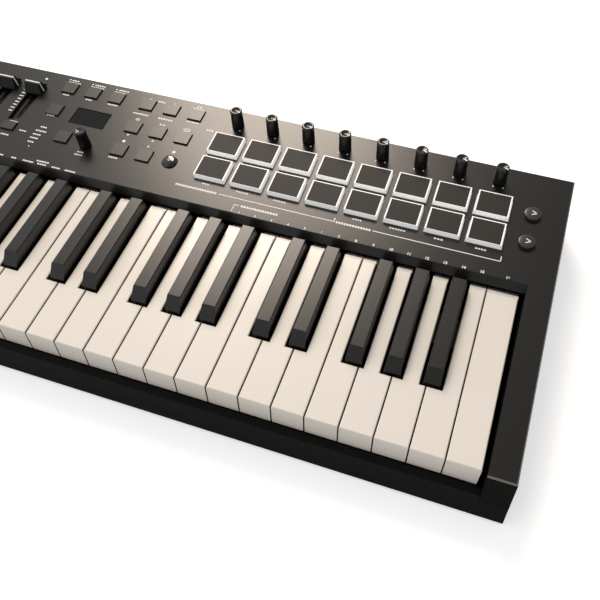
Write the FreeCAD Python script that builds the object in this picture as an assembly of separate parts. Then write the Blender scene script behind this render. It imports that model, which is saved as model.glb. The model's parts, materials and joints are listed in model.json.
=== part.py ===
# A 49-note keyboard controller: four octaves of full-size keys with velocity pads, knobs, faders,
# a small display, soft buttons and two performance wheels, made of separate moulded, stamped and
# soldered pieces that come apart as the real instrument does.
#
# Pieces are modelled with X = 0 at the right-hand edge of the last key, Y = 0 at the front edge of
# the white keys and Z = 0 at their top. save() then moves them to the part's own frame, whose
# origin is on the surface that the instrument stands on, under the middle of its case.
# X runs along the keyboard, Y from the player to the back, Z up.

import FreeCAD
import Part
import math
import os
from FreeCAD import Vector

os.makedirs("parts", exist_ok=True)

# ------------------------------------------------------------------ driving dimensions, mm
# Keys
key_pitch = 23.5            # one white key to the next
key_gap = 1.0               # between two white keys
white_count = 29            # four octaves and the top C
white_length = 139.6        # visible length of a white key
white_step_length = 2.6     # low step at the back end of the visible top
white_step_depth = 0.7
white_front_height = 19.5   # front face of a white key
white_front_lean = 1.2      # the front face leans out towards its lower edge
key_skirt = 14.0            # side skirts, below the white tops
key_wall = 1.7
key_edge = 0.6              # chamfer round the playing surface
black_height = 9.8          # above the white tops
black_front_y = 49.7
black_front_run = 7.0       # how far the front of a black key slopes back
black_back_y = 136.0
black_base_width = 12.0
black_top_width = 10.4
notch_width = 16.2          # room between two white tails for a black key
notch_front_y = 47.3
tail_top = 7.0              # tails run under the panel, this far below the white tops
tail_length = 197.0
tail_end = 7.0              # of a tail, behind its pivot
pivot_depth = 10.8          # pivot axis below the white tops
pivot_radius = 2.0
pivot_clearance = 0.15
key_dip_angle = 3.0         # degrees, about 10 mm at the front edge

# Case
cheek_right = 22.3          # last key's edge to the right-hand side of the case
cheek_left = 94.5           # first key's edge to the left-hand side, with the wheels
slot_side_gap = 3.3         # last key to the cheek
front_top_y = -2.5
panel_depth = 107.5         # edge of the panel over the keys to the back wall
case_underside = 38.0       # below the white tops
front_lean = 0.31           # how far the front leans out, per mm of height
panel_slope = 0.05          # rise of the top panel, per mm towards the back
panel_height = 0.21         # of the panel's plane above the white tops, at y = 0
panel_front_y = 146.0       # edge of the panel over the keys
lip_front_y = 142.0         # the lip slopes forward from the panel's edge to here
lip_front_z = 1.2
lip_bottom = 1.4            # its lower edge, below the white tops
case_wall = 2.5
case_edge = 0.9             # chamfer round the top
split_depth = 24.0          # joint between top cover and bottom case, below the white tops
slip_depth = 19.0           # top of the strip in front of the keys
slip_back_y = -2.5
slip_drop = 5.0
joint_clearance = 0.3       # between cover and bottom where one stands inside the other
tongue_height = 3.0
tongue_thickness = 1.2

# Feet and screws
foot_radius = 8.0
foot_height = 2.5
foot_inset = 26.0
screw_shank = 1.45
screw_hole = 1.5
screw_head = 2.9
screw_head_height = 1.8
screw_length = 13.0
floor_boss_radius = 5.5
floor_boss_height = 4.0
pillar_radius = 3.6

# Pads
pad_count = 8               # in each of two rows
pad_pitch = 31.95
pad_right_x = -34.2
pad_width = 27.0
pad_depth = 22.3
pad_height = 4.0
pad_draft = 0.4
pad_rows_back = (71.1, 43.3)     # the two rows in front of the back wall
pad_sheet = 1.5
pad_margin = 2.6            # of the sheet beyond the outer pads
pad_clearance = 0.4
pad_travel = 0.8

# Soft buttons
button_size = 12.8
button_height = 1.5
button_draft = 0.25
button_clearance = 0.3
button_travel = 1.0
button_sheet = 1.5
button_stem = 4.6
button_pitch = 23.5
button_rows_back = (72.6, 44.9, 16.1)
grid_right_x = -297.3
screen_group_x = -375.1
fader_button_depth = 9.6
fader_button_back = 73.7
octave_button_y = 132.0
octave_button_width = 20.0
octave_button_depth = 9.0

# Round buttons
record_radius = 6.5
record_height = 3.0
arrow_x = -3.8
arrow_radius = 6.4
arrow_height = 3.0

# Knobs
knob_back = 16.5
knob_height = 17.0
knob_base_radius = 5.3
knob_top_radius = 4.9
knob_gap = 0.8              # under the knob
knob_edge = 0.7
knob_dish = 0.8             # hollow in its top
stem_radius = 3.0
stem_hole = 3.6
stem_clearance = 0.1
encoder_back = 75.5
encoder_body = 11.0

# Display
display_width = 33.7
display_depth = 19.4
display_x = -386.6
display_back = 45.5
display_recess = 0.5
display_module_margin = 3.0
display_module_height = 3.6

# Faders
fader_count = 9
fader_pitch = 27.0
fader_right_x = -452.3
fader_top_back = 26.5       # where the cap stands at the top of its travel
fader_travel = 30.0
trough_width = 12.2
trough_depth = 3.0
trough_floor = 2.0
trough_end = 1.0            # wall at each end of a trough
trough_margin = 9.4         # beyond the cap's middle at each end of its travel
fader_slot = 4.0
fader_blade = 1.4
fader_blade_length = 5.0
cap_base_width = 17.0
cap_base_length = 11.5
cap_top_width = 14.0
cap_top_length = 4.0
cap_height = 10.0
cap_gap = 0.6
fader_body_width = 9.0
fader_body_height = 7.0

# Wheels
wheel_radius = 22.5
wheel_width = 13.0
wheel_y = 72.0
wheel_depth = 12.0          # axle below the white tops
wheel_spacing = 31.0
wheel_gap = 1.2
wheel_rim = 5.0
wheel_web = 4.0
axle_radius = 3.0
axle_clearance = 0.06
hub_radius = 6.5
bracket_plate = 2.0
bracket_length = 56.0
bracket_height = 27.0

# Boards
board_thickness = 1.6
control_board_drop = 12.0   # below the top of the panel
board_boss = 6.0
board_boss_xs = (-745.0, -546.8, -436.0, -278.0, 11.5)
main_board_depth = 22.0     # below the white tops
main_board_length = 170.0
main_board_gap = 1.9        # to the back wall
main_board_front_gap = 4.5  # to the key chassis
main_board_ledge = 24.0
main_board_ledge_inset = 4.5
socket_body = 16.0
main_board_x = -660.0
socket_spacing = 34.0
jack_bore = 3.25
jack_radius = 5.6
jack_length = 20.0

# Key bed
chassis_floor = 1.5
chassis_lift = 2.0          # ribs on the case floor carry the chassis
chassis_overhang = 5.0      # behind the tails
rib_width = 3.0
post_length = 4.0
post_clearance = 0.25
white_post_y = 22.0
black_post_y = 64.0
post_gap = 0.9              # top of a post to the inside of the pressed key
felt_thickness = 2.2
felt_width = 12.0
felt_y = 0.0
plunger_y = 110.0
plunger_web = 1.8           # the web across a key that presses its dome
plunger_depth = 13.8
contact_board_depth = 24.0
contact_board_width = 26.0
dome_radius = 3.4
running_gap = 0.4           # left at the end of a key's travel
spring_width = 5.0
spring_sheet = 0.5
spring_foot_back = 44.0      # in front of the pivot
spring_tip_back = 14.0
rail_thickness = 2.4

# ------------------------------------------------------------------ derived places
far = 2000.0
octave = 7 * key_pitch
semitone = octave / 12
slope_angle = math.degrees(math.atan(panel_slope))
x_first = -white_count * key_pitch
x_right = cheek_right
x_left = x_first - cheek_left
back_y = panel_front_y + panel_depth
pad_rows = [back_y - d for d in pad_rows_back]
button_rows = [back_y - d for d in button_rows_back]
fader_button_y = back_y - fader_button_back
fader_top_y = back_y - fader_top_back
knob_y = back_y - knob_back
encoder_y = back_y - encoder_back
display_y = back_y - display_back
pivot_y = tail_length - tail_end
spring_foot_y = pivot_y - spring_foot_back
spring_tip_y = pivot_y - spring_tip_back
underside_z = -case_underside
floor_z = underside_z + case_wall
split_z = -split_depth
slot_right = slot_side_gap
slot_left = x_first - slot_side_gap
front_bottom_y = front_top_y - front_lean * case_underside
chassis_top = floor_z + chassis_lift + chassis_floor
chassis_back = tail_length + chassis_overhang
pressed = math.sin(math.radians(key_dip_angle))
case_middle_x = (x_left + x_right) / 2
case_middle_y = (front_bottom_y + back_y) / 2
stand_z = underside_z - foot_height
fader_xs = [fader_right_x - fader_pitch * n for n in range(fader_count)]
pad_xs = [pad_right_x - pad_pitch * n for n in range(pad_count)]
wheel_xs = [(x_left + slot_left) / 2 + side * wheel_spacing / 2 for side in (-1, 1)]


def panel_z(y):
    """Height of the top panel's surface."""
    return panel_height + panel_slope * y


def front_y(z):
    """The leaning front of the case."""
    return front_top_y + front_lean * (z - panel_z(front_top_y))


def drop_at(y):
    """How far a key goes down at y when it is pressed."""
    return (pivot_y - y) * pressed


# ------------------------------------------------------------------ helpers
def box(x0, x1, y0, y1, z0, z1):
    return Part.makeBox(x1 - x0, y1 - y0, z1 - z0, Vector(x0, y0, z0))


def block(width, length, z0, z1, x=0.0, y=0.0):
    """A box centred on x, y."""
    return box(x - width / 2, x + width / 2, y - length / 2, y + length / 2, z0, z1)


def prism_x(points, x0, x1):
    """A (y, z) outline drawn out along X."""
    outline = Part.makePolygon([Vector(x0, y, z) for y, z in points + points[:1]])
    return Part.Face(outline).extrude(Vector(x1 - x0, 0, 0))


def rod(radius, z0, z1, x=0.0, y=0.0):
    return Part.makeCylinder(radius, z1 - z0, Vector(x, y, z0))


def rod_x(radius, x0, x1, y, z):
    return Part.makeCylinder(radius, x1 - x0, Vector(x0, y, z), Vector(1, 0, 0))


def rectangle(width, length, z, x=0.0, y=0.0):
    corners = [(-1, -1), (1, -1), (1, 1), (-1, 1), (-1, -1)]
    return Part.makePolygon([Vector(x + a * width / 2, y + b * length / 2, z) for a, b in corners])


def ring(sides, radius, z, x=0.0, y=0.0):
    """A regular polygon whose corners lie on the radius."""
    corners = [2 * math.pi * (n % sides + 0.5) / sides for n in range(sides + 1)]
    return Part.makePolygon([Vector(x + radius * math.cos(a), y + radius * math.sin(a), z)
                             for a in corners])


def clear_ring(sides, radius, z, x=0.0, y=0.0):
    """A regular polygon whose flats clear the radius."""
    return ring(sides, radius / math.cos(math.pi / sides), z, x, y)


def column(sides, radius, z0, z1, x=0.0, y=0.0):
    return Part.Face(ring(sides, radius, z0, x, y)).extrude(Vector(0, 0, z1 - z0))


def opening(sides, radius, z0, z1, x=0.0, y=0.0):
    return Part.Face(clear_ring(sides, radius, z0, x, y)).extrude(Vector(0, 0, z1 - z0))


def stacked(sides, rings, x=0.0, y=0.0):
    """A solid through polygons of (radius, z), from the bottom up."""
    return Part.makeLoft([ring(sides, r, z, x, y) for r, z in rings], True, True)


def column_x(sides, radius, x0, x1, y, z):
    """A regular polygon drawn out along X."""
    turned_up = column(sides, radius, 0, x1 - x0)
    turned_up.rotate(Vector(0, 0, 0), Vector(0, 1, 0), 90)
    return turned_up.translated(Vector(x0, y, z))


def taper(base, top):
    """A straight-sided solid between two wires."""
    return Part.makeLoft([base, top], True, True)


def joined(shapes):
    whole = shapes[0]
    if len(shapes) > 1:
        whole = whole.multiFuse(shapes[1:])
    return whole.removeSplitter()


def on_panel(shape, x, y):
    """Stands a piece, drawn round the origin with Z = 0 at the panel's surface, on the panel."""
    placed = shape.copy()
    placed.rotate(Vector(0, 0, 0), Vector(1, 0, 0), slope_angle)
    placed.translate(Vector(x, y, panel_z(y)))
    return placed


def top_edges(shape, z, tolerance=1e-4):
    return [e for e in shape.Edges if all(abs(v.Z - z) < tolerance for v in e.Vertexes)]


def save(name, shapes):
    """Writes one node, moved to the part's own frame."""
    solids = [s for shape in shapes for s in shape.Solids]
    whole = Part.makeCompound(solids) if len(solids) > 1 else solids[0]
    whole = whole.translated(Vector(-case_middle_x, -case_middle_y, -stand_z))
    whole.exportStep("parts/" + name + ".step")


# ------------------------------------------------------------------ keys
white_names = ("c", "b", "a", "g", "f", "e", "d")                  # from the right
black_after = {"b": "a_sharp", "a": "g_sharp", "g": "f_sharp", "e": "d_sharp", "d": "c_sharp"}
black_steps = {"a_sharp": 1, "g_sharp": 3, "f_sharp": 5, "d_sharp": 8, "c_sharp": 10}
last_tail_x = -key_pitch - key_gap / 2 - (semitone - notch_width / 2 + semitone / 2) / 2


def octave_count():
    return (white_count - 1) // 7


def black_centres():
    """(name, x) of every black key."""
    centres = []
    for turn in range(octave_count()):
        for name, steps in black_steps.items():
            centres.append((name, b_tail_x - steps * semitone - turn * octave))
    return centres


b_tail_x = -key_pitch - (semitone / 2 - key_gap / 4)


def white_span(index):
    """Left and right edge of a white key, counted from the right."""
    return -(index + 1) * key_pitch + key_gap / 2, -index * key_pitch - key_gap / 2


def tail_span(index):
    """The narrower part of a white key, between its black neighbours."""
    left, right = white_span(index)
    for name, x in black_centres():
        if left < x - notch_width / 2 < right and x > (left + right) / 2:
            right = x - notch_width / 2
        if left < x + notch_width / 2 < right and x < (left + right) / 2:
            left = x + notch_width / 2
    return left, right


def pivot_hook(x0, x1):
    """The opening, round at its top, by which a tail hangs on the chassis rail."""
    radius = pivot_radius + pivot_clearance
    bevel = radius * math.tan(math.radians(22.5))
    outline = [(pivot_y - radius, -far), (pivot_y - radius, -pivot_depth + bevel),
               (pivot_y - bevel, -pivot_depth + radius), (pivot_y + bevel, -pivot_depth + radius),
               (pivot_y + radius, -pivot_depth + bevel), (pivot_y + radius, -far)]
    return prism_x(outline, x0 - 1, x1 + 1)


def white_key(index):
    left, right = white_span(index)
    tail_left, tail_right = tail_span(index)
    lip_y = 2 * key_wall
    head = prism_x([(0, 0), (notch_front_y, 0), (notch_front_y, -key_skirt),
                    (lip_y + white_front_height - key_skirt, -key_skirt), (lip_y, -white_front_height),
                    (-white_front_lean, -white_front_height)], left, right)
    step_y = white_length - white_step_length
    tail = prism_x([(notch_front_y, 0), (step_y, 0), (step_y, -white_step_depth),
                    (white_length, -white_step_depth), (white_length, -tail_top),
                    (tail_length, -tail_top), (tail_length, -key_skirt),
                    (notch_front_y, -key_skirt)], tail_left, tail_right)
    shell = joined([head, tail])
    shell = shell.makeChamfer(key_edge, top_edges(shell, 0.0))
    hollows = [box(left + key_wall, right - key_wall, key_wall, notch_front_y - key_wall,
                   -far, -key_wall),
               box(tail_left + key_wall, tail_right - key_wall, notch_front_y, step_y - key_wall,
                   -far, -key_wall)]
    shell = shell.cut(joined(hollows))
    web = block(tail_right - tail_left - key_wall, plunger_web, -plunger_depth, -key_wall / 2,
                (tail_left + tail_right) / 2, plunger_y)
    return joined([shell, web]).cut(pivot_hook(tail_left, tail_right))


def black_inner_width():
    return black_top_width - key_wall


def black_key(x):
    length = black_back_y - black_front_y
    middle_y = (black_front_y + black_back_y) / 2
    top = rectangle(black_top_width, length - black_front_run - key_edge, black_height, x,
                    middle_y + (black_front_run - key_edge) / 2)
    body = taper(rectangle(black_base_width, length, 0, x, middle_y), top)
    body = body.makeChamfer(key_edge, top_edges(body, black_height))
    skirt = block(black_base_width, length, -key_skirt, 0, x, middle_y)
    tail = box(x - black_top_width / 2, x + black_top_width / 2, black_back_y - key_wall,
               tail_length, -key_skirt, -tail_top)
    inner = black_inner_width() / 2
    ceiling = black_height - 2 * key_wall
    hollow_front = black_front_y + black_front_run
    hollow = box(x - inner, x + inner, hollow_front, black_back_y - key_wall, -far, ceiling)
    shell = joined([body, skirt, tail]).cut(hollow)
    web = block(2 * inner + key_wall / 2, plunger_web, -plunger_depth, ceiling + key_wall / 2,
                x, plunger_y)
    return joined([shell, web]).cut(pivot_hook(x - black_base_width / 2, x + black_base_width / 2))


def make_keys():
    """Keys of one name are identical mouldings and share a node."""
    groups = {}
    for index in range(white_count):
        name = "key_top_c" if index == 0 else "keys_" + white_names[index % 7]
        groups.setdefault(name, []).append(white_key(index))
    for name, x in black_centres():
        groups.setdefault("keys_" + name, []).append(black_key(x))
    for name, keys in groups.items():
        save(name, keys)


# ------------------------------------------------------------------ key bed
def key_places():
    """(x of the guide post, x of the tail, is it black) of every key."""
    places = []
    for index in range(white_count):
        places.append((sum(white_span(index)) / 2, sum(tail_span(index)) / 2, False))
    for name, x in black_centres():
        places.append((x, x, True))
    return places


def make_key_chassis():
    """Bed plate, guide posts, contact board ribs and the round-topped rail that the keys hang on."""
    left, right = x_first, 0.0
    bottom = chassis_top - chassis_floor
    shapes = [box(left, right, felt_y, chassis_back, bottom, chassis_top)]
    rail_top = -pivot_depth
    shapes.append(box(left, right, pivot_y - rail_thickness / 2, pivot_y + rail_thickness / 2,
                      chassis_top - 0.5, rail_top))
    shapes.append(column_x(12, pivot_radius, left, right, pivot_y, -pivot_depth))
    white_top = -key_wall - drop_at(white_post_y - post_length / 2) - post_gap
    black_top = black_height - 2 * key_wall - drop_at(black_post_y - post_length / 2) - post_gap
    for post_x, tail_x, is_black in key_places():
        inner = black_inner_width() if is_black else key_pitch - key_gap - 2 * key_wall
        y, top = (black_post_y, black_top) if is_black else (white_post_y, white_top)
        width = inner - 2 * post_clearance
        shapes.append(block(width, post_length, chassis_top - 0.5, top, post_x, y))
    board_bottom = -contact_board_depth - board_thickness
    for side in (-1, 1):
        y = plunger_y + side * (contact_board_width - rib_width) / 2
        shapes.append(box(left, right, y - rib_width / 2, y + rib_width / 2,
                          chassis_top - 0.5, board_bottom))
    save("key_chassis", [joined(shapes)])


def make_key_felts():
    felt = box(x_first, 0, felt_y, felt_y + felt_width, chassis_top, chassis_top + felt_thickness)
    save("key_felts", [felt])


def make_contact_board():
    top = -contact_board_depth
    board = block(-x_first, contact_board_width, top - board_thickness, top, x_first / 2, plunger_y)
    save("contact_board", [board])
    dome_top = -plunger_depth - drop_at(plunger_y - plunger_web / 2) - running_gap
    domes = []
    for post_x, tail_x, is_black in key_places():
        domes.append(stacked(8, [(dome_radius, top), (dome_radius * 0.6, dome_top)],
                             tail_x, plunger_y))
    save("contact_domes", domes)


def make_key_springs():
    """A leaf under each tail, drawn as the pressed key leaves it."""
    tip_z = -key_skirt - drop_at(spring_tip_y - spring_width) - running_gap
    foot_z = chassis_top
    rise_y = spring_foot_y + 8
    outline = [(spring_foot_y, foot_z), (rise_y, foot_z), (spring_tip_y, tip_z - spring_sheet),
               (spring_tip_y + 4, tip_z - spring_sheet - 1), (spring_tip_y + 4, tip_z - 1),
               (spring_tip_y, tip_z), (rise_y, foot_z + spring_sheet),
               (spring_foot_y, foot_z + spring_sheet)]
    springs = [prism_x(outline, tail_x - spring_width / 2, tail_x + spring_width / 2)
               for post_x, tail_x, is_black in key_places()]
    save("key_springs", springs)


# ------------------------------------------------------------------ what stands in the panel
def button_places():
    """Middle of every small square button by the display and in the grid."""
    low, middle, high = button_rows
    places = [(grid_right_x - button_pitch * n, y) for n in range(3) for y in button_rows]
    places.remove((grid_right_x, low))
    places += [(screen_group_x - button_pitch * n, high) for n in range(3)]
    places += [(screen_group_x - button_pitch * 2, middle), (screen_group_x - button_pitch, low)]
    return places


def button_solid(width, length, height, stem=True):
    """One moulded button: a drafted cap on its sheet, with the stem that works the switch."""
    sheet_top = -case_wall - button_clearance
    cap = taper(rectangle(width, length, sheet_top - 0.1),
                rectangle(width - 2 * button_draft, length - 2 * button_draft, height))
    parts = [cap, block(width + 4, length + 4, sheet_top - button_sheet, sheet_top)]
    if stem:
        low = -control_board_drop + button_travel + running_gap
        parts.append(block(button_stem, button_stem, low, sheet_top - button_sheet + 0.1))
    return parts


def button_mat(places, width, length, web):
    """Buttons on one silicone sheet; web is a list of (x0, x1, y0, y1) strips that join them."""
    parts = []
    for x, y in places:
        parts += [on_panel(s, x, y) for s in button_solid(width, length, button_height)]
    sheet_top = -case_wall - button_clearance
    for x0, x1, y0, y1 in web:
        strip = block(x1 - x0, y1 - y0, sheet_top - button_sheet, sheet_top)
        parts.append(on_panel(strip, (x0 + x1) / 2, (y0 + y1) / 2))
    return joined(parts)


def grid_web():
    """Strips between the buttons of the display group and the grid."""
    low, middle, high = button_rows
    half = button_size / 2
    left = screen_group_x - 2 * button_pitch
    return [(left, grid_right_x, high - half / 2, high + half / 2),
            (left - 2, left + 2, low - 2, high),
            (left, left + button_pitch, low - 2, low + 2),
            (grid_right_x - 2 * button_pitch, grid_right_x, middle - half / 2, middle + half / 2),
            (grid_right_x - 2 * button_pitch - 2, grid_right_x - 2 * button_pitch + 2, low, high),
            (grid_right_x - 2 * button_pitch, grid_right_x - button_pitch, low - 2, low + 2)]


def fader_button_places():
    return [(x, fader_button_y) for x in fader_xs]


def octave_button_places():
    return [(x, octave_button_y) for x in wheel_xs]


def make_button_mats():
    save("panel_button_mat", [button_mat(button_places(), button_size, button_size, grid_web())])
    web = [(fader_xs[-1], fader_xs[0], fader_button_y - 2, fader_button_y + 2)]
    save("fader_button_mat",
         [button_mat(fader_button_places(), button_size, fader_button_depth, web)])
    web = [(wheel_xs[0], wheel_xs[1], octave_button_y - 2, octave_button_y + 2)]
    save("octave_button_mat",
         [button_mat(octave_button_places(), octave_button_width, octave_button_depth, web)])


def pad_places():
    return [(x, y) for x in pad_xs for y in pad_rows]


def pad_area(margin):
    """Width and length round all the pads, and their middle."""
    width = pad_pitch * (pad_count - 1) + pad_width + 2 * margin
    length = pad_rows[1] - pad_rows[0] + pad_depth + 2 * margin
    return width, length, (pad_xs[0] + pad_xs[-1]) / 2, sum(pad_rows) / 2


def make_pads():
    """All sixteen pads are one silicone moulding, over their own sensor board."""
    sheet_top = -case_wall - button_clearance
    width, length, x, y = pad_area(pad_margin)
    parts = [on_panel(block(width, length, sheet_top - pad_sheet, sheet_top), x, y)]
    pad = taper(rectangle(pad_width, pad_depth, sheet_top - 0.1),
                rectangle(pad_width - 2 * pad_draft, pad_depth - 2 * pad_draft, pad_height))
    parts += [on_panel(pad, px, py) for px, py in pad_places()]
    save("pad_mat", [joined(parts)])
    width, length, x, y = pad_area(pad_margin + board_boss)
    top = pad_board_top()
    save("pad_board", [on_panel(block(width, length, top - board_thickness, top), x, y)])


def pad_board_top():
    return -case_wall - button_clearance - pad_sheet - pad_travel - running_gap


def dome_button(radius, height, crown):
    """A round button with a crowned top, its flange and its stem."""
    sheet_top = -case_wall - button_clearance
    low = -control_board_drop + button_travel + running_gap
    cap = stacked(32, [(radius, sheet_top - 0.1), (radius, height - crown),
                       (radius * 0.88, height - crown * 0.45), (radius * 0.62, height - crown * 0.12),
                       (radius * 0.25, height)])
    flange = column(24, radius + 2, sheet_top - button_sheet, sheet_top)
    stem = block(button_stem, button_stem, low, sheet_top - button_sheet + 0.1)
    return joined([cap, flange, stem])


def make_round_buttons():
    low, middle, high = button_rows
    record = dome_button(record_radius, record_height, 2.2)
    save("record_button", [on_panel(record, grid_right_x, low)])
    arrow = dome_button(arrow_radius, arrow_height, 0.5)
    for name, y in zip(("lower", "upper"), pad_rows):
        save("scroll_button_" + name, [on_panel(arrow, arrow_x, y)])


def knob_solid():
    """Faceted cap with a dished top, and the shaft that turns with it."""
    shaft_low = -control_board_drop + board_thickness
    cap = stacked(24, [(knob_base_radius, knob_gap), (knob_top_radius, knob_height - knob_edge),
                       (knob_top_radius - knob_edge, knob_height)])
    rim = knob_top_radius - 2 * knob_edge
    dish = stacked(24, [(rim - knob_dish, knob_height - knob_dish), (rim, knob_height),
                        (rim + knob_dish, knob_height + knob_dish)])
    return joined([cap.cut(dish), column(12, stem_radius, shaft_low, knob_gap + 1)])


def knob_places():
    places = [("knob_%d" % (pad_count - n), x, knob_y) for n, x in enumerate(pad_xs)]
    return places + [("encoder_knob", screen_group_x, encoder_y)]


def make_knobs():
    bore = stem_radius + stem_clearance
    bodies = []
    shaft_low = -control_board_drop + board_thickness
    for name, x, y in knob_places():
        save(name, [on_panel(knob_solid(), x, y)])
        body = block(encoder_body, encoder_body, -control_board_drop, -case_wall)
        room = opening(12, bore, shaft_low - stem_clearance, far)
        bodies.append(on_panel(body.cut(room), x, y))
    save("knob_encoders", bodies)


def make_faders():
    """Caps on their blades, and the slide units that the blades run in."""
    blade_low = -trough_depth - trough_floor - fader_body_height * 0.6
    cap = taper(rectangle(cap_base_width, cap_base_length, cap_gap),
                rectangle(cap_top_width, cap_top_length, cap_height))
    blade = block(fader_blade, fader_blade_length, blade_low, cap_gap + 1)
    cap = joined([cap, blade])
    units = []
    unit_top = -trough_depth - trough_floor
    length = fader_travel + 2 * trough_margin
    middle_y = fader_top_y - fader_travel / 2
    for n, x in enumerate(fader_xs):
        save("fader_cap_%d" % (fader_count - n), [on_panel(cap, x, fader_top_y)])
        unit = block(fader_body_width, length, unit_top - fader_body_height, unit_top)
        channel = block(fader_blade + 1, fader_travel + fader_blade_length + 2,
                        blade_low - running_gap, far)
        units.append(on_panel(unit.cut(channel), x, middle_y))
    save("fader_units", units)


def make_display():
    lens = block(display_width, display_depth, -case_wall, -display_recess)
    save("display_window", [on_panel(lens, display_x, display_y)])
    margin = 2 * display_module_margin
    module = block(display_width + margin, display_depth + margin,
                   -case_wall - display_module_height, -case_wall)
    save("display_module", [on_panel(module, display_x, display_y)])


# ------------------------------------------------------------------ wheels
def wheel_solid(x):
    """A moulded wheel with a rim, a thin web, a hub and a finger notch at its top."""
    half, web = wheel_width / 2, wheel_web / 2
    inner = wheel_radius - wheel_rim
    wheel = stacked(40, [(wheel_radius - 1, -half), (wheel_radius, -half + 1),
                         (wheel_radius, half - 1), (wheel_radius - 1, half)])
    room = column(24, inner, web, half + 1).cut(column(12, hub_radius, web, half))
    rooms = room.fuse(room.mirror(Vector(0, 0, 0), Vector(0, 0, 1)))
    wheel = wheel.cut(rooms).cut(opening(16, axle_radius + axle_clearance, -far, far))
    wheel.rotate(Vector(0, 0, 0), Vector(0, 1, 0), 90)
    wheel.translate(Vector(x, wheel_y, -wheel_depth))
    notch = column_x(16, 4.0, x - half - 1, x + half + 1, wheel_y, -wheel_depth + wheel_radius + 2.2)
    return wheel.cut(notch)


def make_wheels():
    for name, x in zip(("pitch_wheel", "modulation_wheel"), wheel_xs):
        save(name, [wheel_solid(x)])
    half = wheel_width / 2 + wheel_gap
    y0, y1 = wheel_y - bracket_length / 2, wheel_y + bracket_length / 2
    plates = sorted({x + side * (half + bracket_plate / 2) for x in wheel_xs for side in (-1, 1)})
    shapes = [box(x - bracket_plate / 2, x + bracket_plate / 2, y0, y1,
                  floor_z, floor_z + bracket_height) for x in plates]
    for y in (y0, y1 - bracket_plate):
        shapes.append(box(plates[0], plates[-1], y, y + bracket_plate, floor_z, floor_z + 8))
    shapes.append(column_x(16, axle_radius, plates[0] - bracket_plate / 2,
                           plates[-1] + bracket_plate / 2, wheel_y, -wheel_depth))
    save("wheel_bracket", [joined(shapes)])


# ------------------------------------------------------------------ case
def case_block():
    """The outer form of the whole case."""
    outline = [(front_top_y, panel_z(front_top_y)), (back_y, panel_z(back_y)),
               (back_y, underside_z), (front_bottom_y, underside_z)]
    whole = prism_x(outline, x_left, x_right)
    edges = [e for e in whole.Edges
             if all(abs(v.Z - panel_z(v.Y)) < 1e-4 for v in e.Vertexes)]
    return whole.makeChamfer(case_edge, edges)


def case_inside(inset, floor, open_top=0.0):
    """The room inside the walls, down to floor."""
    top = -inset + open_top
    outline = [(front_y(0) + inset, panel_z(front_top_y) + top),
               (back_y - inset, panel_z(back_y) + top), (back_y - inset, floor),
               (front_y(floor) + inset * 1.05, floor)]
    return prism_x(outline, x_left + inset, x_right - inset)


def pillar_places():
    """Screw pillars: four along the back, four along the front of the panel or in the cheeks."""
    near_back = back_y - case_wall - pillar_radius - 1.5
    cheek_x = (slot_right + case_wall + x_right - case_wall) / 2
    left_x = x_left + foot_inset / 2
    spread = [left_x, -465.0, -146.0, cheek_x]
    return ([(x, near_back) for x in spread] + [(cheek_x, 20.0), (left_x, 20.0),
            (slot_left - foot_inset / 3, 20.0)])


def trough_block():
    length = fader_travel + 2 * trough_margin
    return block(trough_width + 2 * trough_floor, length + 2 * trough_end,
                 -trough_depth - trough_floor, -case_wall / 2)


def panel_openings():
    """Everything cut through the top panel."""
    deep = -3 * case_wall
    cuts = [on_panel(block(pad_width + 2 * pad_clearance, pad_depth + 2 * pad_clearance, deep, 2),
                     x, y) for x, y in pad_places()]
    size = button_size + 2 * button_clearance
    cuts += [on_panel(block(size, size, deep, 2), x, y) for x, y in button_places()]
    length = fader_button_depth + 2 * button_clearance
    cuts += [on_panel(block(size, length, deep, 2), x, y) for x, y in fader_button_places()]
    width, length = (octave_button_width + 2 * button_clearance,
                     octave_button_depth + 2 * button_clearance)
    cuts += [on_panel(block(width, length, deep, 2), x, y) for x, y in octave_button_places()]
    cuts += [on_panel(opening(12, stem_hole, deep, 2), x, y) for name, x, y in knob_places()]
    cuts.append(on_panel(opening(32, record_radius + button_clearance, deep, 2),
                         grid_right_x, button_rows[0]))
    cuts += [on_panel(opening(32, arrow_radius + button_clearance, deep, 2), arrow_x, y)
             for y in pad_rows]
    cuts.append(on_panel(block(display_width + 0.2, display_depth + 0.2, deep, 2),
                         display_x, display_y))
    middle_y = fader_top_y - fader_travel / 2
    length = fader_travel + 2 * trough_margin
    trough = block(trough_width, length, -trough_depth, 2)
    slot = block(fader_slot, fader_travel + fader_blade_length + 3, deep, 2)
    for x in fader_xs:
        cuts.append(on_panel(trough.fuse(slot), x, middle_y))
    return cuts


def wheel_openings():
    reach = math.sqrt(wheel_radius ** 2 - (wheel_depth - case_wall) ** 2) + wheel_gap
    half = wheel_width / 2 + wheel_gap
    return [box(x - half, x + half, wheel_y - reach, wheel_y + reach, -2 * case_wall, far)
            for x in wheel_xs]


def board_bosses():
    """Bosses under the panel that carry the control board and the pad board."""
    low = -control_board_drop
    shapes = []
    near, behind = control_board_span()
    for x in board_boss_xs:
        for y in (near + board_boss, behind - 2 * board_boss):
            shapes.append(on_panel(block(board_boss, board_boss, low, -case_wall / 2), x, y))
    width, length, x, y = pad_area(pad_margin + board_boss)
    for side_x in (-1, 0, 1):
        for side_y in (-1, 1):
            boss = block(board_boss, board_boss - 1, pad_board_top(), -case_wall / 2)
            shapes.append(on_panel(boss, x + side_x * (width - board_boss) / 2,
                                   y + side_y * (length - board_boss) / 2))
    return shapes


def control_board_span():
    return panel_front_y + case_wall + 4, back_y - case_wall - 3


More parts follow.
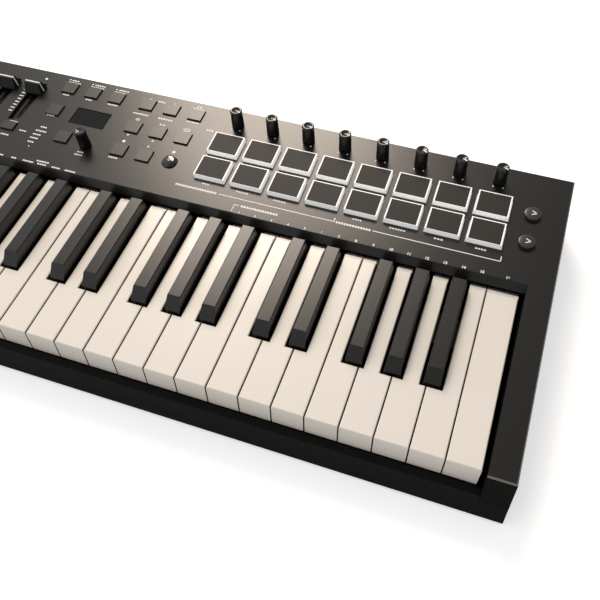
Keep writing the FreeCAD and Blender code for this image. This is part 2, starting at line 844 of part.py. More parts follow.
def make_control_board():
    near, behind = control_board_span()
    left, right = x_left + case_wall + 6, x_right - case_wall - 4
    low = -control_board_drop
    board = on_panel(block(right - left, behind - near, low - board_thickness, low),
                     (left + right) / 2, (near + behind) / 2)
    notch = pillar_radius + 1
    holes = [box(x - notch, x + notch, y - notch, behind + 2, -far, far)
             for x, y in pillar_places() if y > near]
    corners = [box(x - 2 * notch, x + 2 * notch, y - notch, far, -far, far)
               for x, y in pillar_places() if y > near and not left + 20 < x < right - 20]
    save("control_board", [board.cut(joined(holes + corners))])


def rear_sockets():
    """(name, x, width, height) of what shows in the back wall, in order."""
    x = main_board_x + main_board_length / 2
    return [("usb_socket", x - 2.2 * socket_spacing, 12.0, 11.0),
            ("midi_socket", x - socket_spacing, 20.0, 18.0)]


def jack_places():
    x = main_board_x + main_board_length / 2
    return [x + socket_spacing * n for n in (0.2, 1.2)]


def socket_axis_z():
    return -main_board_depth + jack_radius + 1.4


def main_board_span():
    return chassis_back + main_board_front_gap, back_y - case_wall - main_board_gap


def make_main_board():
    top = -main_board_depth
    front, behind = main_board_span()
    board = box(main_board_x, main_board_x + main_board_length, front, behind,
                top - board_thickness, top)
    save("main_board", [board])
    outer_y = back_y - 0.4
    for name, x, width, height in rear_sockets():
        body = box(x - width / 2, x + width / 2, outer_y - socket_body, outer_y, top, top + height)
        save(name, [socket_front(name, body, x, top + height / 2, outer_y, width, height)])
    axis_z = socket_axis_z()
    jacks = []
    for x in jack_places():
        shell = box(x - jack_radius - 1, x + jack_radius + 1, outer_y - jack_length,
                    back_y - case_wall - 0.3, top, axis_z + jack_radius + 1)
        bore = Part.makeCylinder(jack_bore, jack_length - 4, Vector(x, outer_y, axis_z),
                                 Vector(0, -1, 0))
        jacks.append(shell.fuse(jack_nose(x, jack_radius)).cut(bore))
    save("pedal_sockets", jacks)


def socket_front(name, body, x, z, outer_y, width, height):
    """The opening of a socket, with what stands in it."""
    if name == "usb_socket":
        room = box(x - 4.3, x + 4.3, outer_y - 9, outer_y, z - 3.9, z + 3.9)
        tongue = box(x - 2.8, x + 2.8, outer_y - 9, outer_y - 1, z - 1.6, z + 1.6)
        return body.cut(room.cut(tongue))
    groove = column(20, 7.4, 0, 6).cut(column(20, 6.3, 0, 6))
    pins = [column(6, 0.8, 0, 5, 4.5 * math.cos(a), 4.5 * math.sin(a))
            for a in (math.radians(45 * n) for n in range(5))]
    room = Part.makeCompound([groove] + pins)
    room.rotate(Vector(0, 0, 0), Vector(1, 0, 0), 90)
    return body.cut(room.translated(Vector(x, outer_y, z)))


def jack_nose(x, radius):
    """The twelve-sided collar of a pedal socket, that stands in the back wall."""
    nose = column(12, radius, 0, case_wall + 1)
    nose.rotate(Vector(0, 0, 0), Vector(1, 0, 0), 90)
    return nose.translated(Vector(x, back_y - 0.4, socket_axis_z()))


def back_wall_openings():
    top = -main_board_depth
    y0, y1 = back_y - case_wall - 3, back_y + 1
    cuts = [box(x - width / 2 - 0.4, x + width / 2 + 0.4, y0, y1, top - 0.4, top + height + 0.4)
            for name, x, width, height in rear_sockets()]
    for x in jack_places():
        cuts.append(jack_nose(x, jack_radius + 0.4).translated(Vector(0, 1, 0)))
        cuts.append(box(x - jack_radius - 1.4, x + jack_radius + 1.4, y0, back_y - case_wall,
                        top - 0.4, socket_axis_z() + jack_radius + 1.4))
    return cuts


def floor_boss_top():
    return floor_z + floor_boss_height


def lip_wall():
    """The panel's front edge slopes down over the ends of the keys, and turns back under itself."""
    top = panel_z(panel_front_y)
    outline = [(panel_front_y, top), (lip_front_y, lip_front_z), (lip_front_y, -lip_bottom),
               (lip_front_y + case_wall, -lip_bottom), (lip_front_y + case_wall, lip_front_z - 0.6),
               (panel_front_y + case_wall, top - case_wall - 0.4),
               (panel_front_y + case_wall, top + case_wall), (panel_front_y, top + case_wall)]
    return prism_x(outline, slot_left - case_wall, slot_right + case_wall)


def make_top_cover():
    outer = case_block()
    above = box(x_left - 1, x_right + 1, -far, far, split_z, far)
    key_slot = box(slot_left, slot_right, -far, panel_front_y, -far, far)
    shell = outer.cut(case_inside(case_wall, underside_z)).common(above).cut(key_slot)
    walls = [box(slot_right, slot_right + case_wall, -far, panel_front_y + case_wall, split_z, far),
             box(slot_left - case_wall, slot_left, -far, panel_front_y + case_wall, split_z, far),
             lip_wall()]
    pillars = [column(8, pillar_radius, floor_boss_top(), far, x, y) for x, y in pillar_places()]
    inside = [outer.common(joined(walls))] + [outer.common(p) for p in pillars]
    bosses = [on_panel(trough_block(), x, fader_top_y - fader_travel / 2) for x in fader_xs]
    cover = joined([shell] + inside + bosses + board_bosses())
    holes = [opening(8, screw_hole, floor_boss_top() - 1, floor_boss_top() + screw_length, x, y)
             for x, y in pillar_places()]
    cover = cover.cut(Part.makeCompound(panel_openings()))
    cover = cover.cut(Part.makeCompound(wheel_openings() + back_wall_openings() + holes))
    save("top_cover", [cover])


def make_bottom_case():
    outer = case_block()
    below = box(x_left - 1, x_right + 1, -far, far, -far, split_z)
    tray = outer.common(below).cut(case_inside(case_wall, floor_z))
    slip_left, slip_right = slot_left + joint_clearance, slot_right - joint_clearance
    slip = prism_x([(front_y(-slip_depth), -slip_depth), (slip_back_y, -slip_depth),
                    (slip_back_y, -slip_depth - slip_drop),
                    (slip_back_y - case_wall, -slip_depth - slip_drop),
                    (slip_back_y - case_wall, -slip_depth - case_wall),
                    (front_y(-slip_depth - case_wall) + case_wall, -slip_depth - case_wall),
                    (front_y(split_z - 1) + case_wall, split_z - 1),
                    (front_y(split_z - 1), split_z - 1)], slip_left, slip_right)
    parts = [tray, slip]
    for x, y in pillar_places():
        parts.append(column(8, floor_boss_radius, floor_z - 0.5, floor_boss_top(), x, y))
    inset = case_wall + joint_clearance
    ring = case_inside(inset, split_z - tongue_height).common(
        box(x_left, x_right, panel_front_y, far, split_z - tongue_height, split_z + tongue_height))
    ring = ring.cut(box(x_left + inset + tongue_thickness, x_right - inset - tongue_thickness, -far,
                        back_y - inset - tongue_thickness, -far, far))
    ring_root = case_inside(case_wall - 0.5, split_z - tongue_height).common(
        box(x_left, x_right, panel_front_y, far, split_z - tongue_height, split_z - 0.5))
    ring_root = ring_root.cut(box(x_left + inset + tongue_thickness,
                                  x_right - inset - tongue_thickness, -far,
                                  back_y - inset - tongue_thickness, -far, far))
    parts += [ring, ring_root]
    for y in (felt_y + rib_width, plunger_y, tail_length - rib_width):
        parts.append(box(x_first, 0, y - rib_width / 2, y + rib_width / 2,
                         floor_z - 0.5, floor_z + chassis_lift))
    board_bottom = -main_board_depth - board_thickness
    for x in (main_board_x + 6, main_board_x + main_board_length - 6):
        ledge_front = main_board_span()[0] + main_board_ledge_inset
        parts.append(box(x - rib_width, x + rib_width, ledge_front,
                         ledge_front + main_board_ledge, floor_z - 0.5, board_bottom))
    case = joined(parts)
    holes = []
    for x, y in pillar_places():
        holes.append(opening(8, screw_hole + 0.3, -far, far, x, y))
        holes.append(opening(8, screw_head + 0.3, -far, underside_z + screw_head_height, x, y))
    case = case.cut(Part.makeCompound(holes[0::2])).cut(Part.makeCompound(holes[1::2]))
    sockets = [c for c in back_wall_openings()]
    save("bottom_case", [case.cut(Part.makeCompound(sockets))])


def foot_places():
    front = front_bottom_y + foot_inset
    behind = back_y - foot_inset
    return [(x, y) for x in (x_left + foot_inset * 1.6, case_middle_x, x_right - foot_inset * 1.6)
            for y in (front, behind)]


def make_feet_and_screws():
    feet = []
    for x, y in foot_places():
        feet.append(stacked(16, [(foot_radius - 0.6, underside_z - foot_height),
                                 (foot_radius, underside_z)], x, y))
    save("rubber_feet", feet)
    screws = []
    seat = underside_z + screw_head_height
    for x, y in pillar_places():
        head = column(8, screw_head, underside_z + 0.3, seat, x, y)
        shank = column(8, screw_shank, seat - 0.1, seat + screw_length, x, y)
        screws.append(head.fuse(shank))
    save("case_screws", screws)


make_keys()
make_key_chassis()
make_key_felts()
make_contact_board()
make_key_springs()
make_button_mats()
make_pads()
make_round_buttons()
make_knobs()
make_faders()
make_display()
make_wheels()
make_control_board()
make_main_board()
make_top_cover()
make_bottom_case()
make_feet_and_screws()
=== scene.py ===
# Keyboard controller: materials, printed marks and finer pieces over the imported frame,
# on a white table by a window.
#
# Lengths are in millimetres from the right-hand edge of the last key (x), the front edge of the
# white keys (y) and their top (z), as in the part's own source, and are moved to the frame's
# metres when a piece is placed.

import json
import math

import bmesh
import bpy
from mathutils import Matrix, Vector


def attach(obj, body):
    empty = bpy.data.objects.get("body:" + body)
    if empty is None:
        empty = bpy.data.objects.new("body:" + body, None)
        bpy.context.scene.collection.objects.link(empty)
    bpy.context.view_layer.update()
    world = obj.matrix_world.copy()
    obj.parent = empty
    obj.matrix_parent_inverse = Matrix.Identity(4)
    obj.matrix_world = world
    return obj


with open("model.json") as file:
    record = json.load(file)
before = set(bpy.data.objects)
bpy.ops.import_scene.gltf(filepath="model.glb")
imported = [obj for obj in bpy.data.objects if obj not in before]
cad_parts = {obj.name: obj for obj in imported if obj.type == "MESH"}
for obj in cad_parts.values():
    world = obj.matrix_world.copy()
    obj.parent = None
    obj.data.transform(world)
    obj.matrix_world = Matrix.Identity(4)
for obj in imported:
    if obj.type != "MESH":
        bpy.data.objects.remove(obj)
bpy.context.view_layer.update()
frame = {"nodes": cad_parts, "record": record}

MM = 0.001
KEYS_IN_FRAME = Vector((376.85, -119.6, 40.5))  # last key's front top corner, in the frame
PANEL_SLOPE = 0.05
PANEL_HEIGHT = 0.21                             # of the panel's plane at the keys' front edge
KEY_PITCH = 23.5
SEMITONE = 7 * KEY_PITCH / 12
# Places of the controls, from the first at the right.
PAD_XS = [-34.2 - 31.95 * n for n in range(8)]
PAD_YS = (182.4, 210.2)
FADER_XS = [-452.3 - 27.0 * n for n in range(9)]
FADER_Y = 227.0
KNOB_Y = 237.0
ENCODER_PLACE = (-375.1, 178.0)


def panel_z(y):
    return PANEL_HEIGHT + PANEL_SLOPE * y


# ------------------------------------------------------------------ placing
def to_frame():
    return Matrix.Diagonal((MM, MM, MM, 1)) @ Matrix.Translation(KEYS_IN_FRAME)


def seat(x, y, lift=0.0, turn=0.0):
    """Matrix that stands a piece, drawn in mm round the origin, on the sloping panel."""
    tilt = Matrix.Rotation(math.atan(PANEL_SLOPE), 4, "X")
    spin = Matrix.Rotation(turn, 4, "Z")
    place = Matrix.Translation((x, y, panel_z(y)))
    return to_frame() @ place @ tilt @ Matrix.Translation((0, 0, lift)) @ spin


def finished(name, bm, material, body):
    """Turns a bmesh into a piece of the object that rides on a body."""
    bmesh.ops.recalc_face_normals(bm, faces=bm.faces[:])
    mesh = bpy.data.meshes.new(name)
    bm.to_mesh(mesh)
    bm.free()
    obj = bpy.data.objects.new(name, mesh)
    bpy.context.scene.collection.objects.link(obj)
    mesh.materials.append(material)
    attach(obj, body)


# ------------------------------------------------------------------ materials
def linear(code):
    """An sRGB hex colour as linear RGBA."""
    parts = [int(code[n:n + 2], 16) / 255 for n in (1, 3, 5)]
    parts = [c / 12.92 if c <= 0.04045 else ((c + 0.055) / 1.055) ** 2.4 for c in parts]
    return (*parts, 1.0)


def add(tree, kind, settings=None, links=None):
    """Adds a node with its settings, then links its inputs: {input: output socket or value}."""
    node = tree.nodes.new(kind)
    for name, value in (settings or {}).items():
        setattr(node, name, value)
    for name, source in (links or {}).items():
        if isinstance(source, bpy.types.NodeSocket):
            tree.links.new(source, node.inputs[name])
        else:
            node.inputs[name].default_value = source
    return node


def surface(name, colour, grain=None, **settings):
    """A Principled material; grain is (size in mm, height in mm) of its moulded texture."""
    material = bpy.data.materials.new(name)
    material.use_nodes = True
    tree = material.node_tree
    shader = tree.nodes["Principled BSDF"]
    shader.inputs["Base Color"].default_value = linear(colour)
    for key, value in settings.items():
        shader.inputs[key.replace("_", " ")].default_value = value
    if grain:
        size, height = grain
        place = add(tree, "ShaderNodeTexCoord")
        noise = add(tree, "ShaderNodeTexNoise", None,
                    {"Vector": place.outputs["Object"], "Scale": 1 / (size * MM), "Detail": 2.0})
        bump = add(tree, "ShaderNodeBump", None,
                   {"Height": noise.outputs["Fac"], "Distance": height * MM, "Strength": 0.6})
        tree.links.new(bump.outputs["Normal"], shader.inputs["Normal"])
    return material


def facing(tree, axis, centre, width):
    """1 where the size of the true normal's part along an axis is within width of centre."""
    parts = add(tree, "ShaderNodeSeparateXYZ", None,
                {0: add(tree, "ShaderNodeNewGeometry").outputs["True Normal"]})
    size = add(tree, "ShaderNodeMath", {"operation": "ABSOLUTE"}, {0: parts.outputs[axis]})
    return add(tree, "ShaderNodeMath", {"operation": "COMPARE"},
               {0: size.outputs[0], 1: centre, 2: width}).outputs[0]


def vary(material, mask, name, value):
    """Another value of a shader input where the mask is 1."""
    tree = material.node_tree
    socket = tree.nodes["Principled BSDF"].inputs[name]
    before = socket.links[0].from_socket if socket.links else None
    if name == "Base Color":
        mix = add(tree, "ShaderNodeMix", {"data_type": "RGBA"},
                  {0: mask, 6: before or socket.default_value[:], 7: linear(value)})
        tree.links.new(mix.outputs[2], socket)
    else:
        mix = add(tree, "ShaderNodeMix", None,
                  {0: mask, 2: before or socket.default_value, 3: value})
        tree.links.new(mix.outputs[0], socket)


# Satin ABS with a fine spark-eroded texture: dark, with broad soft reflections.
cover_abs = surface("satin_moulded_abs", "#151412", (0.6, 0.012), Roughness=0.29)
# Its chamfers are painted lighter: a painted highlight where the edges catch the light.
for axis in "XY":
    vary(cover_abs, facing(cover_abs.node_tree, axis, 0.7, 0.1), "Base Color", "#7a7873")
# Its front faces are painted near black and given less specular: a painted shade, as they face away
# from the window.
front_painted_shade = facing(cover_abs.node_tree, "Y", 0.97, 0.05)
vary(cover_abs, front_painted_shade, "Base Color", "#040404")
vary(cover_abs, front_painted_shade, "Specular IOR Level", 0.08)
# Coarser texture and no paint on the underside and the front strip.
tray_abs = surface("textured_black_abs", "#050505", (0.9, 0.05), Roughness=0.55,
                   Specular_IOR_Level=0.15)
# Polished keys in warm white.
ivory_abs = surface("polished_warm_white_abs", "#f1ebe1", Roughness=0.28, Coat_Weight=0.2,
                    Coat_Roughness=0.15)
# Their side walls are painted darker: a painted shade for the dark gaps between the keys.
vary(ivory_abs, facing(ivory_abs.node_tree, "X", 1.0, 0.1), "Base Color", "#4a463f")
# Black keys are spark-eroded and stay matt.
ebony_abs = surface("matt_black_abs", "#131312", (0.5, 0.012), Roughness=0.29)
soft_black = surface("soft_touch_black", "#0d0d0d", Roughness=0.32)
knob_gloss = surface("polished_knob_top", "#0c0c0c", Roughness=0.12, Coat_Weight=0.3)
slider_black = surface("satin_black_abs", "#121211", Roughness=0.3)
# Silicone of buttons and pads scatters light and has a dull sheen.
button_silicone = surface("dark_silicone", "#35332e", Roughness=0.3)
# The pads' pale rims are given a faint glow: painted light that brightens them, though they are no
# lamp.
pad_silicone = surface("pale_silicone_painted_glow", "#f0efec", Roughness=0.45,
                       Emission_Color=linear("#ffffff"), Emission_Strength=0.3)
pad_skin = surface("dark_pad_skin", "#22211e", (0.7, 0.012), Roughness=0.55,
                   Specular_IOR_Level=0.3)
ink = surface("white_screen_print", "#f2f2f0", Roughness=0.5)
smoked_glass = surface("smoked_window", "#070707", Roughness=0.12, Specular_IOR_Level=0.2)
dome_gloss = surface("glossy_black_dome", "#100f0e", Roughness=0.12, Coat_Weight=0.6)
pressed_steel = surface("zinc_plated_steel", "#9a9a98", Metallic=1.0, Roughness=0.4)
board_green = surface("lacquered_board", "#14532b", Roughness=0.35)
dark_moulding = surface("dark_grey_moulding", "#1c1c1c", Roughness=0.6)
felt_red = surface("red_felt", "#6a1717", (0.5, 0.1), Roughness=0.95)
grey_rubber = surface("grey_silicone", "#8f8f8a", Roughness=0.6)
black_rubber = surface("black_rubber", "#141414", Roughness=0.7)
connector_black = surface("glass_filled_nylon", "#161616", Roughness=0.45)

finishes = {
    "panel_plastic": cover_abs, "base_plastic": tray_abs, "white_key": ivory_abs,
    "black_key": ebony_abs, "chassis_plastic": dark_moulding, "felt": felt_red,
    "board": board_green, "dome_rubber": grey_rubber, "spring_steel": pressed_steel,
    "display_body": dark_moulding, "display_glass": smoked_glass,
    "fader_unit_metal": pressed_steel, "encoder_metal": pressed_steel,
    "socket_plastic": connector_black, "foot_rubber": black_rubber,
    "screw_steel": pressed_steel, "knob_plastic": soft_black, "fader_plastic": slider_black,
    "button_silicone": button_silicone, "record_plastic": dome_gloss,
    "pad_silicone": pad_silicone, "wheel_plastic": soft_black,
}
for part in frame["record"]["subparts"]:
    node = frame["nodes"][part["node"]]
    node.data.materials.clear()
    node.data.materials.append(finishes[part["material_slot"]])


# ------------------------------------------------------------------ printed marks
PRINT_LIFT = 0.06


def bar(bm, x0, y0, x1, y1, width):
    """A printed stroke on the panel, a rectangle from one point to another."""
    length = math.hypot(x1 - x0, y1 - y0)
    turn = math.atan2(y1 - y0, x1 - x0)
    middle = ((x0 + x1) / 2, (y0 + y1) / 2)
    bmesh.ops.create_grid(bm, x_segments=1, y_segments=1, size=0.5,
                          matrix=seat(*middle, PRINT_LIFT, turn)
                          @ Matrix.Diagonal((length, width, 1, 1)))


def dot(bm, x, y, radius, sides=16):
    bmesh.ops.create_circle(bm, cap_ends=True, segments=sides, radius=radius,
                            matrix=seat(x, y, PRINT_LIFT))


def wedge(bm, x, y, size, turn):
    """A solid triangle that points along turn."""
    bmesh.ops.create_circle(bm, cap_ends=True, segments=3, radius=size,
                            matrix=seat(x, y, PRINT_LIFT, turn - math.pi / 2))


def number(bm, text, x, y, height):
    """A printed number, centred on x, y."""
    curve = bpy.data.curves.new("number", "FONT")
    curve.body = text
    curve.size = height * 1.4
    curve.offset = height * 0.06
    curve.align_x = "CENTER"
    curve.align_y = "CENTER"
    holder = bpy.data.objects.new("number", curve)
    bpy.context.scene.collection.objects.link(holder)
    bpy.context.view_layer.update()
    mesh = bpy.data.meshes.new_from_object(holder)
    mesh.transform(seat(x, y, PRINT_LIFT))
    bm.from_mesh(mesh)
    bpy.data.objects.remove(holder)
    bpy.data.curves.remove(curve)
    bpy.data.meshes.remove(mesh)


def caption(bm, x, y, width, height=1.5):
    """The place of a caption: a row of short plain strokes, no lettering."""
    count = max(2, round(width / 2.2))
    step = width / count
    for n in range(count):
        left = x - width / 2 + n * step
        bar(bm, left, y, left + step * 0.78, y, height)


def ring(bm, x, y, width, depth, stroke):
    """A printed oval outline."""
    sides = 16
    points = [(x + width / 2 * math.cos(2 * math.pi * n / sides),
               y + depth / 2 * math.sin(2 * math.pi * n / sides)) for n in range(sides + 1)]
    for start, end in zip(points, points[1:]):
        bar(bm, *start, *end, stroke)


LABEL_Y = 147.4                                 # numbers and captions along the panel's front edge
BRACKET_Y = 160.4
CAPTION_HEIGHT = 1.45
LINE = 0.75                                     # stroke of the brackets

marks = bmesh.new()
# Two dots at each knob, at the ends of its travel.
KNOB_DOT_X, KNOB_DOT_Y, KNOB_DOT_RADIUS = 3.9, 6.2, 0.6
for x in PAD_XS:
    for side in (-1, 1):
        dot(marks, x + side * KNOB_DOT_X, KNOB_Y - KNOB_DOT_Y, KNOB_DOT_RADIUS)
# Fifteen numbers, one to a semitone, and one above the last key.
LAST_NUMBER, LAST_NUMBER_X, SEMITONE_NUMBER_X = 16, -11.2, -29.9
NUMBER_HEIGHT, SMALL_NUMBER_HEIGHT, LAST_SMALL_NUMBER = 2.3, 2.0, 6
for n in range(1, LAST_NUMBER + 1):
    x = LAST_NUMBER_X
    if n < LAST_NUMBER:
        x = SEMITONE_NUMBER_X - SEMITONE * (LAST_NUMBER - 1 - n)
    height = NUMBER_HEIGHT if n > LAST_SMALL_NUMBER else SMALL_NUMBER_HEIGHT
    number(marks, str(n), x, LABEL_Y, height)
# Captions: (x, y, width).
for x, y, width in [
        (-422.1, 247.6, 7.5), (-422.0, 244.8, 13.1), (-396.9, 247.8, 11.1), (-398.5, 245.0, 13.9),
        (-372.8, 247.8, 10.1), (-375.5, 244.8, 11.5), (-422.3, 228.9, 6.5), (-399.0, 228.8, 6.5),
        (-375.1, 228.9, 10.0), (-333.5, 244.4, 7.2), (-298.4, 247.7, 5.3), (-298.3, 245.1, 10.6),
        (-345.4, 225.4, 15.2), (-321.5, 225.4, 14.1), (-296.9, 229.0, 11.4), (-345.6, 171.8, 8.6),
        (-422.8, 201.6, 8.2), (-399.5, 185.8, 8.0), (-375.3, 169.4, 6.1), (-375.6, 166.2, 7.8),
        (-421.0, 186.7, 6.3), (-421.0, 181.9, 10.7), (-422.5, 177.3, 8.0), (-422.8, 172.9, 8.0),
        (-423.3, 168.1, 6.2), (-278.7, 224.0, 6.9), (-427.5, LABEL_Y, 5.2), (-413.7, LABEL_Y, 10.4),
        (-400.9, 150.3, 12.1), (-400.4, LABEL_Y, 8.6), (-386.7, LABEL_Y, 8.1),
        (-373.2, LABEL_Y, 10.2)]:
    caption(marks, x, y, width, CAPTION_HEIGHT)
# The row along the panel's edge goes on to the left, in groups of four.
for n in range(1, 20):
    if n % 5:
        caption(marks, -427.5 - SEMITONE * n, LABEL_Y, 5.0 + 1.6 * (n % 4), CAPTION_HEIGHT)
# Under the pads.
for x, width in zip(PAD_XS, (8.8, 7.5, 12.9, 7.7, 0, 11.0, 11.0, 6.5)):
    if width:
        caption(marks, x - 0.7, 167.2, width, 1.4)
# Brackets that join the pads' groups, with a caption in each.
bar(marks, -116.5, BRACKET_Y, -19.2, BRACKET_Y, LINE)
bar(marks, -19.2, BRACKET_Y - 0.3, -19.2, BRACKET_Y + 4.6, LINE)
bar(marks, -244.2, BRACKET_Y, -147.8, BRACKET_Y, LINE)
bar(marks, -147.6, BRACKET_Y - 0.3, -147.6, BRACKET_Y + 3.8, LINE)
bar(marks, -228.2, 147.4, -228.2, 154.2, 0.6)
bar(marks, -228.2, 154.0, -224.2, 154.0, 0.6)
caption(marks, -131.9, BRACKET_Y, 28.3, 1.9)
caption(marks, -264.3, BRACKET_Y, 36.5, 1.9)
caption(marks, -207.0, 153.8, 31.5, 1.9)
# Signs over and under the square buttons.
for x, y, turn in ((-345.1, 244.8, math.pi), (-321.6, 244.7, 0.0), (-345.2, 199.6, -math.pi / 2),
                   (-321.4, 198.8, math.pi / 2), (-322.2, 191.7, 0.0), (-319.9, 218.6, 0.0),
                   (-323.1, 218.6, 0.0)):
    wedge(marks, x, y, 1.5, turn)
dot(marks, -345.3, 191.6, 1.55)
dot(marks, -298.5, 192.0, 1.5)
dot(marks, -422.4, 163.1, 0.6)
for x in (-428.1, -404.8, -380.4):
    dot(marks, x, 248.0, 0.8, 8)
ring(marks, -345.1, 218.7, 3.6, 1.9, 0.8)
ring(marks, -298.3, 218.8, 6.2, 2.6, 0.8)
# Fader scales and captions at the buttons under them.
SCALE_Y, SCALE_STEP, SCALE_STROKE = 197.3, 3.87, 1.1
for x in FADER_XS:
    for n in range(9):
        y = SCALE_Y + SCALE_STEP * n
        bar(marks, x - 11.3, y, x - 7.4, y, SCALE_STROKE)
    caption(marks, x + 1.6, 185.5, 8.2, 1.5)
    caption(marks, x + 1.9, 169.5, 8.1, 1.5)
caption(marks, -436.9, 177.8, 7.2, 1.2)
dot(marks, -450.3, 242.8, 1.3)
finished("printed_marks", marks, ink, "case")

# Arrow heads on the two round buttons, of two strokes each.
ARROW_X, ARROW_LIFT, ARROW_STROKE, ARROW_TURN = -3.2, 3.08, (4.2, 0.85, 1, 1), math.radians(29)
for name, y in zip(("lower", "upper"), PAD_YS):
    arrow = bmesh.new()
    for side in (-1, 1):
        middle = seat(ARROW_X, y, ARROW_LIFT) @ Matrix.Translation((0.1, side * 1.0, 0)) \
            @ Matrix.Rotation(-side * ARROW_TURN, 4, "Z") @ Matrix.Diagonal(ARROW_STROKE)
        bmesh.ops.create_grid(arrow, x_segments=1, y_segments=1, size=0.5, matrix=middle)
    finished("arrow_" + name, arrow, ink, "scroll_button_" + name)

# ------------------------------------------------------------------ pads
PAD_HEIGHT = 4.0
SKIN_SIZE = (24.0, 20.2, 0.2, 1)
SKIN_SHIFT = 0.3                                # towards the player, for a wider rim behind
skins = bmesh.new()
for x in PAD_XS:
    for y in PAD_YS:
        bmesh.ops.create_cube(skins, size=1.0, matrix=seat(x, y - SKIN_SHIFT, PAD_HEIGHT)
                              @ Matrix.Diagonal(SKIN_SIZE))
finished("pad_skins", skins, pad_skin, "pad_mat")

# ------------------------------------------------------------------ fader caps
# A white line over the top and down both sloping sides of each cap.
CAP_TOP, CAP_MIDDLE, CAP_SIDE_X, CAP_SIDE_SLOPE = 9.98, 5.4, 7.8, math.atan(1.5 / 9.4)
TOP_LINE, SIDE_LINE = (14.2, 1.3, 0.12, 1), (0.1, 1.3, 9.2, 1)
for n, x in enumerate(FADER_XS):
    line = bmesh.new()
    bmesh.ops.create_cube(line, size=1.0, matrix=seat(x, FADER_Y, CAP_TOP)
                          @ Matrix.Diagonal(TOP_LINE))
    for side in (-1, 1):
        flank = seat(x + side * CAP_SIDE_X, FADER_Y, CAP_MIDDLE) \
            @ Matrix.Rotation(-side * CAP_SIDE_SLOPE, 4, "Y")
        bmesh.ops.create_cube(line, size=1.0, matrix=flank @ Matrix.Diagonal(SIDE_LINE))
    finished("fader_line_%d" % (9 - n), line, ink, "fader_cap_%d" % (9 - n))

# ------------------------------------------------------------------ knobs
# Polished crown of a knob, as (radius, height above the panel).
CROWN = [(4.98, 14.6), (5.15, 15.1), (5.15, 16.2), (4.1, 17.08), (3.75, 17.08), (0.5, 16.3)]


def turned(bm, rings, sides, flute=0.0):
    """A closed turned shape through (radius, z) rings; flute draws in every other corner of the
    second and third ring."""
    radius, height = rings[0]
    made = bmesh.ops.create_circle(bm, cap_ends=True, segments=sides, radius=radius,
                                   matrix=Matrix.Translation((0, 0, height)))
    edges = list({e for v in made["verts"] for e in v.link_edges})
    for n, (next_radius, z) in enumerate(rings[1:]):
        grown = bmesh.ops.extrude_edge_only(bm, edges=edges)["geom"]
        verts = [g for g in grown if isinstance(g, bmesh.types.BMVert)]
        edges = [g for g in grown if isinstance(g, bmesh.types.BMEdge)
                 and all(v in verts for v in g.verts)]
        scale = next_radius / radius
        bmesh.ops.scale(bm, vec=(scale, scale, 1), verts=verts)
        bmesh.ops.translate(bm, vec=(0, 0, z - height), verts=verts)
        radius, height = next_radius, z
        if flute and n == 0:
            low = [v for v in verts if round(math.atan2(v.co.y, v.co.x) * sides / math.tau) % 2]
            scale = 1 - flute / radius
            bmesh.ops.scale(bm, vec=(scale, scale, 1), verts=low)
    bmesh.ops.edgeloop_fill(bm, edges=edges)


CROWN_SIDES, CROWN_FLUTE = 24, 0.5
POINTER_TURN, POINTER_RADIUS, POINTER_HEIGHT = math.radians(-26), 3.2, 17.0
POINTER_SIZE = (3.0, 1.1, 0.3, 1)
knobs = [("knob_%d" % (8 - n), x, KNOB_Y) for n, x in enumerate(PAD_XS)]
knobs.append(("encoder_knob", *ENCODER_PLACE))
for name, x, y in knobs:
    crown = bmesh.new()
    turned(crown, CROWN, CROWN_SIDES, CROWN_FLUTE)
    bmesh.ops.transform(crown, matrix=seat(x, y), verts=crown.verts[:])
    finished(name + "_crown", crown, knob_gloss, name)
    if name != "encoder_knob":
        mark = bmesh.new()
        bmesh.ops.create_cube(mark, size=1.0, matrix=seat(x, y, POINTER_HEIGHT, POINTER_TURN)
                              @ Matrix.Translation((POINTER_RADIUS, 0, 0))
                              @ Matrix.Diagonal(POINTER_SIZE))
        finished(name + "_pointer", mark, ink, name)


# ------------------------------------------------------------------ table and light
TABLE_GLOW = 0.5                                # seen by the camera only
TABLE_HALF_WIDTH = 12.0                         # m


def plain(name, colour):
    """White to the camera, pale to what it lights; keeps the object's shadow."""
    material = bpy.data.materials.new(name)
    material.use_nodes = True
    tree = material.node_tree
    shader = tree.nodes["Principled BSDF"]
    shader.inputs["Base Color"].default_value = linear(colour)
    shader.inputs["Roughness"].default_value = 0.9
    shader.inputs["Specular IOR Level"].default_value = 0.2
    shader.inputs["Emission Color"].default_value = linear("#ffffff")
    ray = add(tree, "ShaderNodeLightPath")
    glow = add(tree, "ShaderNodeMath", {"operation": "MULTIPLY"},
               {0: ray.outputs["Is Camera Ray"], 1: TABLE_GLOW})
    tree.links.new(glow.outputs[0], shader.inputs["Emission Strength"])
    return material


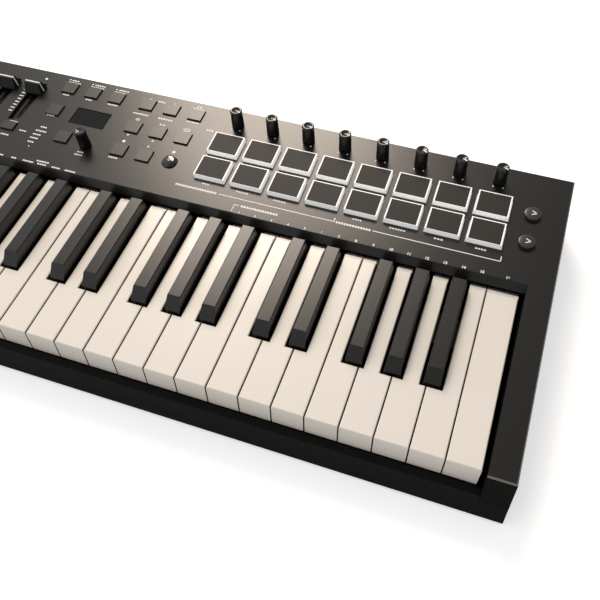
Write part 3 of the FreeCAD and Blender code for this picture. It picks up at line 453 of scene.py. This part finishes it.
table = bmesh.new()
bmesh.ops.create_grid(table, x_segments=1, y_segments=1, size=TABLE_HALF_WIDTH)
mesh = bpy.data.meshes.new("table")
table.to_mesh(mesh)
table.free()
floor = bpy.data.objects.new("table", mesh)
bpy.context.scene.collection.objects.link(floor)
mesh.materials.append(plain("white_table", "#f2f2f2"))


def lamp(name, size, power, place, target, colour="#ffffff"):
    light = bpy.data.lights.new(name, "AREA")
    light.shape = "RECTANGLE"
    light.size, light.size_y = size
    light.energy = power
    light.color = linear(colour)[:3]
    obj = bpy.data.objects.new(name, light)
    obj.location = place
    obj.rotation_euler = (Vector(target) - Vector(place)).to_track_quat("-Z", "Y").to_euler()
    bpy.context.scene.collection.objects.link(obj)


world = bpy.data.worlds.new("room")
bpy.context.scene.world = world
world.use_nodes = True
background = world.node_tree.nodes["Background"]
background.inputs["Color"].default_value = linear("#ffffff")
# The room is brighter on the side of the window.
sky = world.node_tree
compass = add(sky, "ShaderNodeSeparateXYZ", None,
              {0: add(sky, "ShaderNodeTexCoord").outputs["Generated"]})
WINDOW_SIDE, FAR_SIDE = (-0.5, 0.85), (0.15, 0.36)      # (direction's x, strength)
dimming = add(sky, "ShaderNodeMapRange", None,
              {"Value": compass.outputs["X"], "From Min": WINDOW_SIDE[0],
               "From Max": FAR_SIDE[0], "To Min": WINDOW_SIDE[1], "To Max": FAR_SIDE[1]})
sky.links.new(dimming.outputs[0], background.inputs["Strength"])

# The panel mirrors the window towards the camera.
WINDOW_SIZE, WINDOW_POWER = (0.85, 0.8), 34.0   # m, W
WINDOW_PLACE, WINDOW_AIM = (-0.52, 1.55, 1.6), (0.15, 0.05, 0.0)
lamp("warm_window", WINDOW_SIZE, WINDOW_POWER, WINDOW_PLACE, WINDOW_AIM, "#ffeedd")

# ------------------------------------------------------------------ camera
camera = bpy.data.cameras.new("camera")
camera.sensor_width = 36.0
camera.lens = 42.868
camera.clip_start = 0.01
view = bpy.data.objects.new("camera", camera)
view.location = (0.33655, -0.31049, 0.46743)
view.rotation_euler = [math.radians(a) for a in (35.018, 1.7275, 19.0995)]
bpy.context.scene.collection.objects.link(view)
bpy.context.scene.camera = view
bpy.context.scene.view_settings.view_transform = "Standard"
